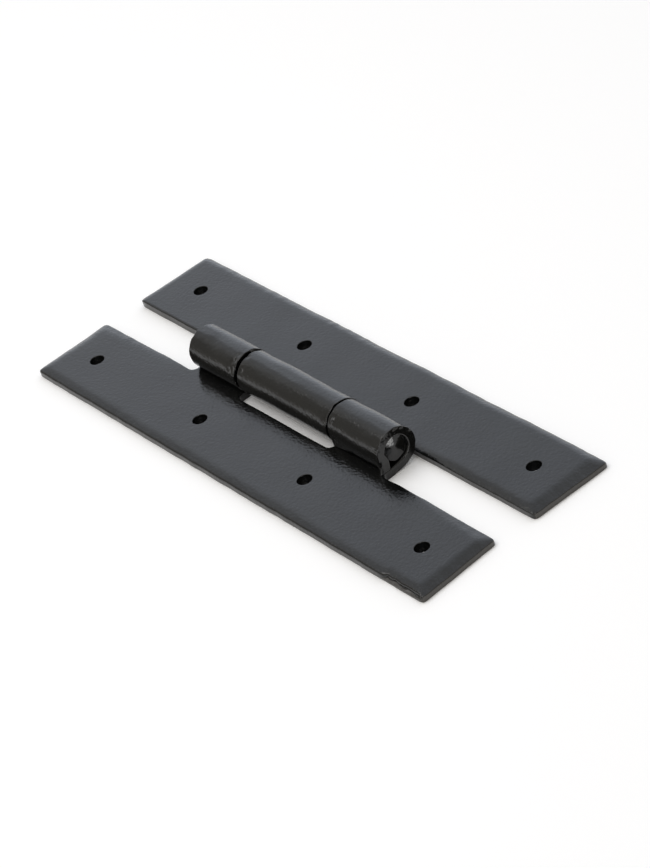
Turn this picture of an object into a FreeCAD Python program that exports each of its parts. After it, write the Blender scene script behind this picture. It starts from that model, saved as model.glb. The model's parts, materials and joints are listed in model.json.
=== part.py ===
# H hinge, lying open and flat with its two long leaves side by side.
# X runs along the pin, Y from the end-knuckle leaf to the middle-knuckle leaf, Z up.
# The origin is on the surface that the leaves lie on, at the middle of the open hinge.
# All lengths are in millimetres.
import FreeCAD, Part
import math
import os
import Sketcher

OUTPUT_FOLDER = "parts"
SHEET = "Sizes"

# Driving dimensions: name, value, meaning
SIZES = (
    ("leaf_length", 179.0, "length of each leaf, about seven inches"),
    ("leaf_width", 25.2, "width of each leaf"),
    ("leaf_gap", 12.5, "space between the two leaves when open"),
    ("sheet_thickness", 2.5, "thickness of the strip that is cut and rolled"),
    ("leaf_corner_radius", 1.4, "rounding of a leaf's four corners in plan"),
    ("bevel_end", 3.3, "width of the ground bevel at a leaf's two ends"),
    ("bevel_side", 2.4, "width of the ground bevel along a leaf's two sides"),
    ("bevel_depth", 0.9, "how deep the bevel is at the edge"),
    ("bevel_corner_radius", 0.6, "rounding of the flat's corners inside the bevel"),
    ("bevel_stop", 1.0, "edge left square beside a tab's root"),
    ("outer_hole_spacing", 150.0, "distance between the two outer screw holes"),
    ("inner_hole_spacing", 48.4, "distance between the two inner screw holes"),
    ("inner_hole_shift", 0.8, "how far the end-knuckle leaf's inner pair is off the outer"),
    ("hole_offset", -0.4, "place of the screw holes' middle along their leaf"),
    ("screw_hole", 4.3, "diameter of a screw hole"),
    ("barrel_length", 86.6, "from end to end of the three knuckles"),
    ("barrel_offset", -1.0, "place of a knuckle's middle along its own leaf"),
    ("knuckle_opening", 42.7, "space between the two end knuckles"),
    ("axial_play", 1.7, "space left in that opening beside the middle knuckle"),
    ("leaf_stagger", 0.5, "how far the play lets one leaf slide past the other"),
    ("axis_offset", 0.55, "the pin's place across the gap, off its middle"),
    ("eye_lift", 0.6, "height of the rolled eyes above the leaves' backs"),
    ("seam_gap", 0.35, "open seam between a roll's tip and its own leaf"),
    ("root_radius", 1.8, "rounding in the corner beside a tab"),
    ("root_land", 0.4, "flat tab left past that rounding before the bend"),
    ("notch_relief", 0.6, "extra depth of the notch between the end tabs"),
    ("rim_round", 0.5, "rounding of the knuckles' ends"),
    ("pin_radius", 3.7, "radius of the hinge pin"),
    ("pin_clearance", 0.05, "radial space between the pin and a turning eye"),
    ("pin_recess", 0.5, "how far the pin's ends sit inside the end knuckles"),
    ("pin_upset", 3.0, "length of each hammered end that fills its eye"),
    ("pin_end_round", 0.5, "rounding of the pin's hammered ends"),
)

# Formulas shared by several sub-parts
EYE_BORE = "(Sizes.pin_radius + Sizes.pin_clearance)"
EYE_OUTSIDE = f"({EYE_BORE} + Sizes.sheet_thickness)"
AXIS_HEIGHT = f"({EYE_OUTSIDE} + Sizes.eye_lift)"
INNER_EDGE = "(-Sizes.leaf_gap / 2)"
OUTER_EDGE = f"({INNER_EDGE} - Sizes.leaf_width)"
HOLE_ROW = f"({INNER_EDGE} - Sizes.leaf_width / 2)"
BEND_START = f"({INNER_EDGE} + Sizes.root_radius + Sizes.root_land)"
HALF_LENGTH = "(Sizes.leaf_length / 2)"
HALF_BARREL = "(Sizes.barrel_length / 2)"
HALF_OPENING = "(Sizes.knuckle_opening / 2)"
HALF_MIDDLE = "((Sizes.knuckle_opening - Sizes.axial_play) / 2)"
BARREL_MIDDLE = "(Sizes.barrel_offset - Sizes.leaf_stagger / 2)"
MIDDLE_KNUCKLE_MIDDLE = "(Sizes.barrel_offset + Sizes.leaf_stagger / 2)"
PIN_HALF = f"({HALF_BARREL} - Sizes.pin_recess)"

# Point numbers on a sketch edge
START, END, CENTRE = range(1, 4)
ORIGIN_POINT = (-1, 1)
NEAR = 0.001


def make_sheet(doc):
    """Fill the spreadsheet: meaning, then the value under its name."""
    sheet = doc.addObject("Spreadsheet::Sheet", SHEET)
    for row, (name, value, meaning) in enumerate(SIZES, start=1):
        sheet.set(f"A{row}", meaning)
        sheet.set(f"B{row}", str(value))
        sheet.setAlias(f"B{row}", name)
    doc.recompute()
    return sheet


def number(doc, formula):
    """The present value of a formula in the sheet's names."""
    return float(doc.getObject(SHEET).evalExpression(formula))


def origin_plane(body, role):
    """One of the body's own base planes."""
    return next(plane for plane in body.Origin.OriginFeatures if plane.Role == role)


def new_sketch(body, name, role, height="0"):
    """A sketch on a base plane of its body, raised by a formula."""
    sketch = body.newObject("Sketcher::SketchObject", name)
    sketch.AttachmentSupport = [(origin_plane(body, role), "")]
    sketch.MapMode = "FlatFace"
    sketch.setExpression("AttachmentOffset.Base.z", height)
    return sketch


def bind(sketch, kind, place, formula):
    """Add a measured constraint whose value is the formula."""
    value = number(sketch.Document, formula)
    index = sketch.addConstraint(Sketcher.Constraint(kind, *place, value))
    sketch.setExpression(f"Constraints[{index}]", formula)


def corner_points(walls, corner, radius):
    """Where a rounding touches the two walls of a corner, and its middle."""
    inward = []
    for step in (-1, 1):
        far = walls[(corner + step) % len(walls)]
        near = walls[corner]
        length = math.hypot(far[0] - near[0], far[1] - near[1])
        inward.append(((far[0] - near[0]) / length, (far[1] - near[1]) / length))
    x, y = walls[corner]
    before = (x + inward[0][0] * radius, y + inward[0][1] * radius)
    after = (x + inward[1][0] * radius, y + inward[1][1] * radius)
    middle = (before[0] + inward[1][0] * radius, before[1] + inward[1][1] * radius)
    return before, after, middle


def draw_walls(sketch, walls, radii):
    """A closed outline of walls that lie along X and Y in turn.

    walls holds ("x" or "y", formula of that wall's place). radii holds the
    rounding between each wall and the next one, as a formula or None.
    """
    doc = sketch.Document
    count = len(walls)
    places = [number(doc, formula) for _, formula in walls]
    corners = []
    for index, (kind, _) in enumerate(walls):
        here, after = places[index], places[(index + 1) % count]
        corners.append((here, after) if kind == "x" else (after, here))
    turns = []
    for index, radius in enumerate(radii):
        if radius is None:
            turns.append((corners[index], corners[index], None))
        else:
            turns.append(corner_points(corners, index, number(doc, radius)))
    lines = []
    for index, (kind, formula) in enumerate(walls):
        begin = FreeCAD.Vector(*turns[index - 1][1])
        finish = FreeCAD.Vector(*turns[index][0])
        line = sketch.addGeometry(Part.LineSegment(begin, finish), False)
        lines.append(line)
        straight = "Vertical" if kind == "x" else "Horizontal"
        sketch.addConstraint(Sketcher.Constraint(straight, line))
        distance = "DistanceX" if kind == "x" else "DistanceY"
        bind(sketch, distance, (*ORIGIN_POINT, line, START), formula)
    for index, radius in enumerate(radii):
        here, after = lines[index], lines[(index + 1) % count]
        if radius is None:
            join = Sketcher.Constraint("Coincident", here, END, after, START)
            sketch.addConstraint(join)
            continue
        join_corner(sketch, here, after, turns[index], radius)


def join_corner(sketch, here, after, turn, radius):
    """Round one corner of an outline with an arc tangent to both walls."""
    before, beyond, middle = (FreeCAD.Vector(*point) for point in turn)
    size = before.distanceToPoint(middle)
    first = math.atan2(before.y - middle.y, before.x - middle.x)
    last = math.atan2(beyond.y - middle.y, beyond.x - middle.x)
    left_turn = (last - first) % (2 * math.pi) < math.pi
    low, high = (first, last) if left_turn else (last, first)
    arc = arc_between(sketch, middle, size, low, high)
    ends = (START, END) if left_turn else (END, START)
    sketch.addConstraint(Sketcher.Constraint("Tangent", here, END, arc, ends[0]))
    sketch.addConstraint(Sketcher.Constraint("Tangent", arc, ends[1], after, START))
    bind(sketch, "Radius", (arc,), radius)


def arc_between(sketch, middle, radius, low, high):
    """An arc drawn anticlockwise from the low angle to the high one."""
    circle = Part.Circle(middle, FreeCAD.Vector(0, 0, 1), radius)
    return sketch.addGeometry(Part.ArcOfCircle(circle, low, high), False)


def draw_eye(sketch, axis_across):
    """Section of a rolled eye, from the leaf's inner edge round to its tip.

    The tab leaves the leaf flat, sweeps up in a wide bend, tightens to the
    bore, follows it round the far side and over the top, and drops straight
    to a tip just above the tab. The wide bend touches both the leaf's back
    and the eye, so its radius follows from where it starts.
    """
    doc = sketch.Document
    across, up = number(doc, axis_across), number(doc, AXIS_HEIGHT)
    bore, outside = number(doc, EYE_BORE), number(doc, EYE_OUTSIDE)
    edge, bend = number(doc, INNER_EDGE), number(doc, BEND_START)
    sheet, lift = number(doc, "Sizes.sheet_thickness"), up - outside
    tip = sheet + number(doc, "Sizes.seam_gap")
    wide = outside + ((across - bend) ** 2 + lift ** 2) / (2 * lift)
    touch = math.atan2(up - wide, across - bend)
    middle, wide_middle = FreeCAD.Vector(across, up), FreeCAD.Vector(bend, wide)
    drop_top = FreeCAD.Vector(across - outside, up)
    drop_end = FreeCAD.Vector(across - outside, tip)
    back_end = FreeCAD.Vector(across - bore, tip)
    back_top = FreeCAD.Vector(across - bore, up)
    low_edge, low_bend = FreeCAD.Vector(edge, 0), FreeCAD.Vector(bend, 0)
    high_edge, high_bend = FreeCAD.Vector(edge, sheet), FreeCAD.Vector(bend, sheet)
    foot, drop, tip_end, back, top, leaf_side = (
        sketch.addGeometry(Part.LineSegment(first, last), False)
        for first, last in (
            (low_edge, low_bend), (drop_top, drop_end), (drop_end, back_end),
            (back_end, back_top), (high_bend, high_edge), (high_edge, low_edge))
    )
    rise = arc_between(sketch, wide_middle, wide, -math.pi / 2, touch)
    shell = arc_between(sketch, middle, outside, touch, math.pi)
    hole = arc_between(sketch, middle, bore, touch, math.pi)
    inner_rise = arc_between(sketch, wide_middle, wide - sheet, -math.pi / 2, touch)
    for kind, *place in (
        ("Horizontal", foot), ("Horizontal", tip_end), ("Horizontal", top),
        ("Vertical", drop), ("Vertical", back), ("Vertical", leaf_side),
        ("Tangent", foot, END, rise, START),
        ("Tangent", rise, END, shell, START),
        ("Tangent", shell, END, drop, START),
        ("Coincident", drop, END, tip_end, START),
        ("Coincident", tip_end, END, back, START),
        ("Tangent", back, END, hole, END),
        ("Tangent", hole, START, inner_rise, END),
        ("Tangent", inner_rise, START, top, START),
        ("Coincident", top, END, leaf_side, START),
        ("Coincident", leaf_side, END, foot, START),
        ("Coincident", shell, CENTRE, hole, CENTRE),
        ("Coincident", rise, CENTRE, inner_rise, CENTRE),
    ):
        sketch.addConstraint(Sketcher.Constraint(kind, *place))
    bind(sketch, "Radius", (shell,), EYE_OUTSIDE)
    bind(sketch, "Radius", (hole,), EYE_BORE)
    bind(sketch, "DistanceX", (*ORIGIN_POINT, shell, CENTRE), axis_across)
    bind(sketch, "DistanceY", (*ORIGIN_POINT, shell, CENTRE), AXIS_HEIGHT)
    bind(sketch, "DistanceX", (*ORIGIN_POINT, foot, START), INNER_EDGE)
    bind(sketch, "DistanceY", (*ORIGIN_POINT, foot, START), "0")
    bind(sketch, "DistanceX", (*ORIGIN_POINT, foot, END), BEND_START)
    bind(sketch, "DistanceY", (*ORIGIN_POINT, tip_end, START),
         "Sizes.sheet_thickness + Sizes.seam_gap")


def pad(body, name, sketch, length, midplane=False):
    """A block of the given length on one side of a sketch, or on both."""
    block = body.newObject("PartDesign::Pad", name)
    block.Profile = sketch
    block.Midplane = midplane
    block.setExpression("Length", length)
    body.Document.recompute()
    return block


def add_plate(body, leaf_middle):
    """The flat leaf with its ground bevel, drawn from its foot to its flat."""
    ends = (f"{leaf_middle} - {HALF_LENGTH}", f"{leaf_middle} + {HALF_LENGTH}")
    square_height = "Sizes.sheet_thickness - Sizes.bevel_depth"
    full = (("x", ends[0]), ("y", OUTER_EDGE), ("x", ends[1]), ("y", INNER_EDGE))
    flat = (
        ("x", f"{ends[0]} + Sizes.bevel_end"),
        ("y", f"{OUTER_EDGE} + Sizes.bevel_side"),
        ("x", f"{ends[1]} - Sizes.bevel_end"),
        ("y", f"{INNER_EDGE} - Sizes.bevel_side"),
    )
    outline = new_sketch(body, "leaf_outline", "XY_Plane")
    draw_walls(outline, full, ["Sizes.leaf_corner_radius"] * len(full))
    pad(body, "leaf_plate", outline, square_height)
    bevel_foot = new_sketch(body, "bevel_foot", "XY_Plane", square_height)
    draw_walls(bevel_foot, full, ["Sizes.leaf_corner_radius"] * len(full))
    bevel_top = new_sketch(body, "bevel_top", "XY_Plane", "Sizes.sheet_thickness")
    draw_walls(bevel_top, flat, ["Sizes.bevel_corner_radius"] * len(flat))
    bevel = body.newObject("PartDesign::AdditiveLoft", "ground_bevel")
    bevel.Profile = bevel_foot
    bevel.Sections = [bevel_top]
    bevel.Ruled = True
    body.Document.recompute()


def add_tab_root(body, half_span):
    """The square-edged stretch that the tabs grow from, rounded into the leaf."""
    stop = f"({half_span} + Sizes.root_radius + Sizes.bevel_stop)"
    walls = (
        ("x", f"-{stop}"), ("y", f"{INNER_EDGE} - Sizes.bevel_side"),
        ("x", stop), ("y", INNER_EDGE),
        ("x", half_span), ("y", BEND_START),
        ("x", f"-{half_span}"), ("y", INNER_EDGE),
    )
    round_root = "Sizes.root_radius"
    radii = (None, None, None, round_root, None, None, round_root, None)
    outline = new_sketch(body, "tab_root_outline", "XY_Plane")
    draw_walls(outline, walls, radii)
    pad(body, "tab_root", outline, "Sizes.sheet_thickness")


def cut_notch(body):
    """The notch between the two end tabs, where the other leaf's eye turns."""
    walls = (
        ("x", f"-{HALF_OPENING}"), ("y", f"{INNER_EDGE} - Sizes.notch_relief"),
        ("x", HALF_OPENING), ("y", f"{BEND_START} + Sizes.root_land"),
    )
    round_root = "Sizes.root_radius"
    outline = new_sketch(body, "notch_outline", "XY_Plane")
    draw_walls(outline, walls, (round_root, round_root, None, None))
    notch = body.newObject("PartDesign::Pocket", "knuckle_notch")
    notch.Profile = outline
    notch.Type = "ThroughAll"
    notch.Reversed = True
    body.Document.recompute()


def add_end_eyes(body, axis_across):
    """Two rolled eyes, one at each end of the barrel, as mirror images."""
    section = new_sketch(body, "end_eye_section", "YZ_Plane", HALF_OPENING)
    draw_eye(section, axis_across)
    eye = pad(body, "end_eye", section, f"{HALF_BARREL} - {HALF_OPENING}")
    pair = body.newObject("PartDesign::Mirrored", "end_eye_pair")
    pair.Originals = [eye]
    pair.MirrorPlane = (origin_plane(body, "YZ_Plane"), [""])
    body.Tip = pair
    body.Document.recompute()


def add_middle_eye(body, axis_across):
    """One rolled eye between the other leaf's two."""
    section = new_sketch(body, "middle_eye_section", "YZ_Plane")
    draw_eye(section, axis_across)
    pad(body, "middle_eye", section, f"{HALF_MIDDLE} * 2", midplane=True)


def round_rims(body, half_spans):
    """Round the outer rim of every eye's end, where a hammer took the edge off."""
    doc = body.Document
    eyes = body.Tip
    outside = number(doc, EYE_OUTSIDE)
    places = [number(doc, formula) for formula in half_spans]
    rims = []
    for index, edge in enumerate(eyes.Shape.Edges, start=1):
        box = edge.BoundBox
        is_arc = isinstance(edge.Curve, Part.Circle)
        at_end = any(abs(abs(box.Center.x) - place) < NEAR for place in places)
        if is_arc and at_end and abs(edge.Curve.Radius - outside) < NEAR:
            rims.append(f"Edge{index}")
    rounding = body.newObject("PartDesign::Fillet", "rim_rounding")
    rounding.Base = (eyes, rims)
    rounding.setExpression("Radius", "Sizes.rim_round")
    doc.recompute()


def drill_screw_holes(body, holes_middle, inner_shift="0"):
    """Four plain screw holes on the leaf's middle line, as two pairs."""
    doc = body.Document
    row = new_sketch(body, "screw_hole_centres", "XY_Plane", "Sizes.sheet_thickness")
    pairs = (("Sizes.outer_hole_spacing", "0"), ("Sizes.inner_hole_spacing", inner_shift))
    for spacing, shift in pairs:
        for sign in ("-", "+"):
            along = f"{holes_middle} + {shift} {sign} {spacing} / 2"
            place = FreeCAD.Vector(number(doc, along), number(doc, HOLE_ROW))
            size = number(doc, "Sizes.screw_hole / 2")
            ring = Part.Circle(place, FreeCAD.Vector(0, 0, 1), size)
            hole = row.addGeometry(ring, False)
            bind(row, "Radius", (hole,), "Sizes.screw_hole / 2")
            bind(row, "DistanceX", (*ORIGIN_POINT, hole, CENTRE), along)
            bind(row, "DistanceY", (*ORIGIN_POINT, hole, CENTRE), HOLE_ROW)
    doc.recompute()
    drill = body.newObject("PartDesign::Hole", "screw_holes")
    drill.Profile = row
    drill.DepthType = "ThroughAll"
    drill.setExpression("Diameter", "Sizes.screw_hole")
    doc.recompute()


def make_end_knuckle_leaf(doc):
    """The front leaf, whose own strip is rolled into the two end knuckles."""
    body = doc.addObject("PartDesign::Body", "end_knuckle_leaf")
    leaf_middle = "(-Sizes.barrel_offset)"
    add_end_eyes(body, "Sizes.axis_offset")
    round_rims(body, (HALF_BARREL, HALF_OPENING))
    add_plate(body, leaf_middle)
    add_tab_root(body, HALF_BARREL)
    cut_notch(body)
    drill_screw_holes(body, f"({leaf_middle} + Sizes.hole_offset)", "Sizes.inner_hole_shift")
    body.setExpression("Placement.Base.x", BARREL_MIDDLE)
    return body


def make_middle_knuckle_leaf(doc):
    """The back leaf with the one middle knuckle, facing the front leaf."""
    body = doc.addObject("PartDesign::Body", "middle_knuckle_leaf")
    leaf_middle = "(Sizes.barrel_offset)"
    add_middle_eye(body, "-Sizes.axis_offset")
    round_rims(body, (HALF_MIDDLE,))
    add_plate(body, leaf_middle)
    add_tab_root(body, HALF_MIDDLE)
    drill_screw_holes(body, f"({leaf_middle} - Sizes.hole_offset)")
    half_turn = FreeCAD.Rotation(FreeCAD.Vector(0, 0, 1), 180)
    body.Placement = FreeCAD.Placement(FreeCAD.Vector(), half_turn)
    body.setExpression("Placement.Base.x", MIDDLE_KNUCKLE_MIDDLE)
    return body


def make_hinge_pin(doc):
    """The pin through all three eyes, hammered at both ends to fill its eyes."""
    body = doc.addObject("PartDesign::Body", "hinge_pin")
    shoulder = f"({PIN_HALF} - Sizes.pin_upset)"
    walls = (
        ("x", f"-{PIN_HALF}"), ("y", "0"), ("x", PIN_HALF), ("y", EYE_BORE),
        ("x", shoulder), ("y", "Sizes.pin_radius"),
        ("x", f"-{shoulder}"), ("y", EYE_BORE),
    )
    section = new_sketch(body, "pin_section", "XZ_Plane")
    draw_walls(section, walls, [None] * len(walls))
    turned = body.newObject("PartDesign::Revolution", "turned_pin")
    turned.Profile = section
    turned.ReferenceAxis = (section, ["H_Axis"])
    doc.recompute()
    half = number(doc, PIN_HALF)
    ends = []
    for index, edge in enumerate(turned.Shape.Edges, start=1):
        is_rim = isinstance(edge.Curve, Part.Circle)
        if is_rim and abs(abs(edge.BoundBox.Center.x) - half) < NEAR:
            ends.append(f"Edge{index}")
    rounding = body.newObject("PartDesign::Fillet", "hammered_ends")
    rounding.Base = (turned, ends)
    rounding.setExpression("Radius", "Sizes.pin_end_round")
    doc.recompute()
    body.setExpression("Placement.Base.x", BARREL_MIDDLE)
    body.setExpression("Placement.Base.y", "Sizes.axis_offset")
    body.setExpression("Placement.Base.z", AXIS_HEIGHT)
    return body


def check_document(doc, bodies):
    """Stop if any object failed or any sub-part is not a valid solid."""
    for item in doc.Objects:
        if "Invalid" in item.State or "Error" in item.State:
            raise RuntimeError(f"{item.Name} failed: {item.State}")
    for body in bodies:
        shape = body.Shape
        if shape.isNull() or not shape.isValid() or len(shape.Solids) != 1:
            raise RuntimeError(f"{body.Label} is not one valid solid")


def main():
    """Build the three sub-parts and write each to its own STEP file."""
    doc = FreeCAD.newDocument("h_hinge")
    make_sheet(doc)
    makers = (make_end_knuckle_leaf, make_middle_knuckle_leaf, make_hinge_pin)
    bodies = [maker(doc) for maker in makers]
    for body in bodies:
        body.Label = body.Name
    doc.recompute()
    check_document(doc, bodies)
    os.makedirs(OUTPUT_FOLDER, exist_ok=True)
    for body in bodies:
        body.Shape.exportStep(os.path.join(OUTPUT_FOLDER, f"{body.Label}.step"))
        volume = body.Shape.Volume
        print(body.Label, "volume", round(volume, 1), body.Shape.BoundBox)


main()
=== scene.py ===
"""Looks of an H hinge that lies open on a white studio floor.

The packed model is the fixed frame. Each of its three pieces is worked out again here
as a surface: the two leaves as strips of sheet, ground at the edges and rolled into
eyes, and the pin as a turned bar with hammered ends. Lengths inside the surface
functions are in millimetres, and everything in Blender is in metres.
"""
import json
import math
from dataclasses import dataclass

import bmesh
import bpy
import numpy as np
from bpy.props import FloatProperty, FloatVectorProperty, PointerProperty
from mathutils import Matrix, Vector


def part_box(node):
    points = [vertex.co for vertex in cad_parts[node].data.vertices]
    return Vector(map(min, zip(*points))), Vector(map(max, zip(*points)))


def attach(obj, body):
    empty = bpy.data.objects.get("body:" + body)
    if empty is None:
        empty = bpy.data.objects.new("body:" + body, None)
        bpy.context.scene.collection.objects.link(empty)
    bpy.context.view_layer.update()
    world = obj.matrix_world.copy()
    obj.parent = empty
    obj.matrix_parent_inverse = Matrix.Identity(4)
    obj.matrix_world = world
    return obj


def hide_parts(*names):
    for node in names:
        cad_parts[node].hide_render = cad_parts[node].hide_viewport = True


bl_info = {
    "name": "H Hinge Looks",
    "version": (1, 0, 0),
    "blender": (4, 5, 0),
    "location": "View3D > Sidebar > H Hinge",
    "description": "Builds the painted leaves, the rolled barrel and the stage of an H hinge",
    "category": "Add Mesh",
}

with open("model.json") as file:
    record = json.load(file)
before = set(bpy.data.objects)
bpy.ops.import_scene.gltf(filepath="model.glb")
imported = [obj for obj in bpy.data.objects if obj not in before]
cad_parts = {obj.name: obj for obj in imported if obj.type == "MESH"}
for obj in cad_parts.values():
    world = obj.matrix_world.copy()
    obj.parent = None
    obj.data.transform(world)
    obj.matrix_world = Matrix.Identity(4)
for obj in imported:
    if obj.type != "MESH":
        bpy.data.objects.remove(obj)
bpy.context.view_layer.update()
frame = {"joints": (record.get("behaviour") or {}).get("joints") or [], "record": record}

MM = 0.001
END_LEAF = "end_knuckle_leaf"
MIDDLE_LEAF = "middle_knuckle_leaf"
PIN = "hinge_pin"
BODY_OF = {
    node: body for body, nodes in frame["record"]["behaviour"]["bodies"].items() for node in nodes
}
AXIS_POINT = [value / MM for value in frame["joints"][0]["pos_m"]]
MOUNTS = {mount["name"]: mount for mount in frame["record"]["mounts"]}
HOLES_OF = {
    END_LEAF: ("end_leaf_outer_holes", "end_leaf_inner_holes"),
    MIDDLE_LEAF: ("middle_leaf_outer_holes", "middle_leaf_inner_holes"),
}
HOLE_RADIUS = MOUNTS["end_leaf_outer_holes"]["dims"]["hole_r_mm"]


def box_mm(node):
    """Lowest and highest corner of a node of the frame, in millimetres."""
    return tuple(np.array(corner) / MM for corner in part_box(node))


PIN_BOX = box_mm(PIN)
EYE_BORE = (PIN_BOX[1][2] - PIN_BOX[0][2]) / 2

# Real sizes in the coat: its dull patches, its orange peel and the space between pinholes
PATCH_SIZE, PEEL_SIZE, PORE_SPACE = 14 * MM, 0.85 * MM, 0.9 * MM

# Metres below which points are welded and slivers dissolved, and the angle of a sharp edge
WELD, SLIVER, SHARP_ANGLE = 2e-6, 1e-7, math.radians(50)

# How far a face turns to the leaf's end to count as a cut end, over what that blends in,
# and the width and height of the burr's ledge: both are made rough and painted a lighter grey as
# painted light
END_FACING, END_BLEND, LEDGE_WIDTH, LEDGE_HEIGHT = 0.5, 0.4, 1.2, 1.0

# The pin: rounding of its ends, length of the hammered part and how much thinner the rest is
PIN_ROUND, PIN_UPSET, PIN_SLACK = 0.12, 3.0, 0.05

# Facets of a peened end: how fast each falls towards +Y and towards +Z
PEENED_FACETS = (
    (-0.27, 0.35), (-0.41, 0.1), (0.0, -0.05), (0.13, 0.06), (-0.02, 0.3),
)

# Marks on the barrel: place along the pin, angle from the top, size and depth
BARREL_MARKS = (
    (21.9, 47, 0.45, -0.45), (18.7, 42, 0.6, 0.22), (18.9, 55, 0.7, 0.28), (18.2, 64, 0.7, 0.2),
    (19.3, 70, 0.6, -0.18), (-24.0, 18, 0.7, 0.18), (-23.8, 33, 0.6, 0.26),
    (-24.9, 42, 0.7, 0.2), (-23.6, 55, 0.7, 0.3), (-25.2, 62, 0.8, 0.22),
    (-23.6, 74, 0.6, -0.2), (-20.0, 48, 0.7, 0.3), (-20.4, 36, 0.5, -0.14),
    (-20.6, 10, 0.8, 0.2), (-36.0, 20, 3.0, 0.16),
    (-5.0, 30, 4.0, 0.1), (33.0, 35, 3.5, 0.12), (10.0, 60, 3.0, 0.1),
    (40.8, 48, 0.6, 0.25), (41.2, 57, 0.4, -0.2), (40.9, 64, 0.5, 0.25), (41.3, 72, 0.4, -0.2),
    (41.0, 82, 0.5, 0.2), (41.4, 114, 0.5, -0.35),
)

# The camera: its own axes and its place in metres, and its focal length in pixels
CAMERA_RIGHT = (0.5916, 0.7567, -0.2784)
CAMERA_UP = (-0.3281, 0.5413, 0.7741)
CAMERA_BACK = (0.7364, -0.3666, 0.5685)
CAMERA_PLACE = (0.66394, -0.32711, 0.50448)
FOCAL_PIXELS, FRAME_HEIGHT, SENSOR = 3331.2, 868, 36.0
CLIP_NEAR, CLIP_FAR = 0.05, 20

# The studio: the way to its bright side, and each lamp's name, power, place and size
BRIGHT_SIDE = (-0.6, 0.75, 0.3)
LAMPS = (
    ("soft_box_above", "lamp_power", (-0.2, -0.3, 0.93), (0.8, 0.8)),
    ("strip_lamp_right", "side_power", (0.97, -0.25, 0.05), (0.7, 0.1)),
)
FLOOR_RADIUS, FLOOR_DROP, PAPER_LIFT = 6, 1e-5, 0.04


def linear(hex_colour):
    """An sRGB hex colour as linear red, green, blue and alpha."""
    parts = [int(hex_colour[index:index + 2], 16) / 255 for index in (1, 3, 5)]
    return tuple(
        part / 12.92 if part <= 0.04045 else ((part + 0.055) / 1.055) ** 2.4 for part in parts
    ) + (1.0,)


def level(name, description, default, **kind):
    """A number property that is never below nought."""
    return FloatProperty(name=name, description=description, default=default, min=0.0, **kind)


def length(name, description, millimetres):
    """A length property whose default is given in millimetres."""
    return level(name, description, millimetres * MM, unit="LENGTH", precision=5)


def paint(name, description, hex_colour):
    """A colour property whose default is given in sRGB."""
    return FloatVectorProperty(
        name=name, description=description, default=linear(hex_colour),
        subtype="COLOR", size=4, min=0.0, max=1.0,
    )


class HingeLeafSettings(bpy.types.PropertyGroup):
    """Sizes of the flat part of both leaves."""

    sheet: length("Sheet", "Thickness of the strip of steel", 2.5)
    corner: length("Corner", "Rounding of a leaf's corners in plan", 1.4)
    end_bevel: length("End bevel", "Width of the ground bevel at a leaf's ends", 3.6)
    side_bevel: length("Side bevel", "Width of the ground bevel along a leaf's sides", 2.2)
    edge_round: length("Edge rounding", "Softness that the coat gives to every edge", 0.25)
    hand_wobble: length("Hand wobble", "How far the hand-cut outline wanders inwards", 0.05)
    hammer_depth: length("Hammer depth", "Height of the dents over the whole strip", 0.045)
    hole_coat: length("Coat in the holes", "How far the coat narrows a hole at its back", 0.95)


class HingeBarrelSettings(bpy.types.PropertyGroup):
    """Sizes of the rolled eyes and the pin."""

    knuckle_opening: length("Knuckle opening", "Space between the two end knuckles", 42.7)
    axial_play: length("Axial play", "Part of that space left beside the middle knuckle", 1.7)
    root_radius: length("Root radius", "Rounding in the corner beside a tab", 1.8)
    root_land: length("Root land", "Flat tab left past that rounding before the bend", 0.4)
    notch_relief: length("Notch relief", "Extra depth of the notch between the end tabs", 0.6)
    seam_gap: length("Seam gap", "What the coat leaves of the seam below a roll's tip", 0.06)
    rim_round: length("Rim rounding", "Rounding of the knuckles' ends outside", 0.45)
    rim_setback: length(
        "Rim setback", "How far the middle knuckle's right rim is hammered back", 0.25)
    pin_recess: length("Pin recess", "How far the pin's ends sit inside the end knuckles", 0.5)
    tip_flare: length("Tip flare", "How far the roll's tip is beaten in towards the pin", 0.7)
    rim_chips: length("Rim chips", "Depth of the hammered chips along the knuckles' rims", 0.14)


class HingeCoatSettings(bpy.types.PropertyGroup):
    """Colour and gloss of the black coat."""

    colour: paint("Coat colour", "Colour of the black coat in full light", "#090a0b")
    roughness: level("Roughness", "Mean roughness of the coat", 0.07, max=1.0, subtype="FACTOR")
    peel: length("Peel depth", "Height of the orange peel in the coat", 0.09)


class HingeStageSettings(bpy.types.PropertyGroup):
    """Floor colour and light levels."""

    floor_colour: paint("Floor colour", "Colour of the paper that the hinge lies on", "#fefeff")
    far_light: level("Far light", "Brightness of the studio behind the hinge", 1.3)
    near_light: level("Near light", "Brightness of the studio on the camera's side", 0.5)
    lamp_power: level("Lamp power", "Power of the large soft lamp overhead", 3.9, unit="POWER")
    side_power: level(
        "Strip power", "Power of the low strip lamp at the pin's right end", 1.4, unit="POWER")


def add_node(tree, kind, inputs=None, **settings):
    """Add a node, set its properties, and fill or link its inputs by name.

    A node that is given for an input stands for its first output.
    """
    node = tree.nodes.new(kind)
    for name, value in settings.items():
        setattr(node, name, value)
    for name, value in (inputs or {}).items():
        if isinstance(value, bpy.types.Node):
            value = value.outputs[0]
        if isinstance(value, bpy.types.NodeSocket):
            tree.links.new(value, node.inputs[name])
        else:
            node.inputs[name].default_value = value
    return node


def new_material(name):
    """An empty node material."""
    material = bpy.data.materials.new(name)
    material.use_nodes = True
    material.node_tree.nodes.clear()
    return material, material.node_tree


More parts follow.
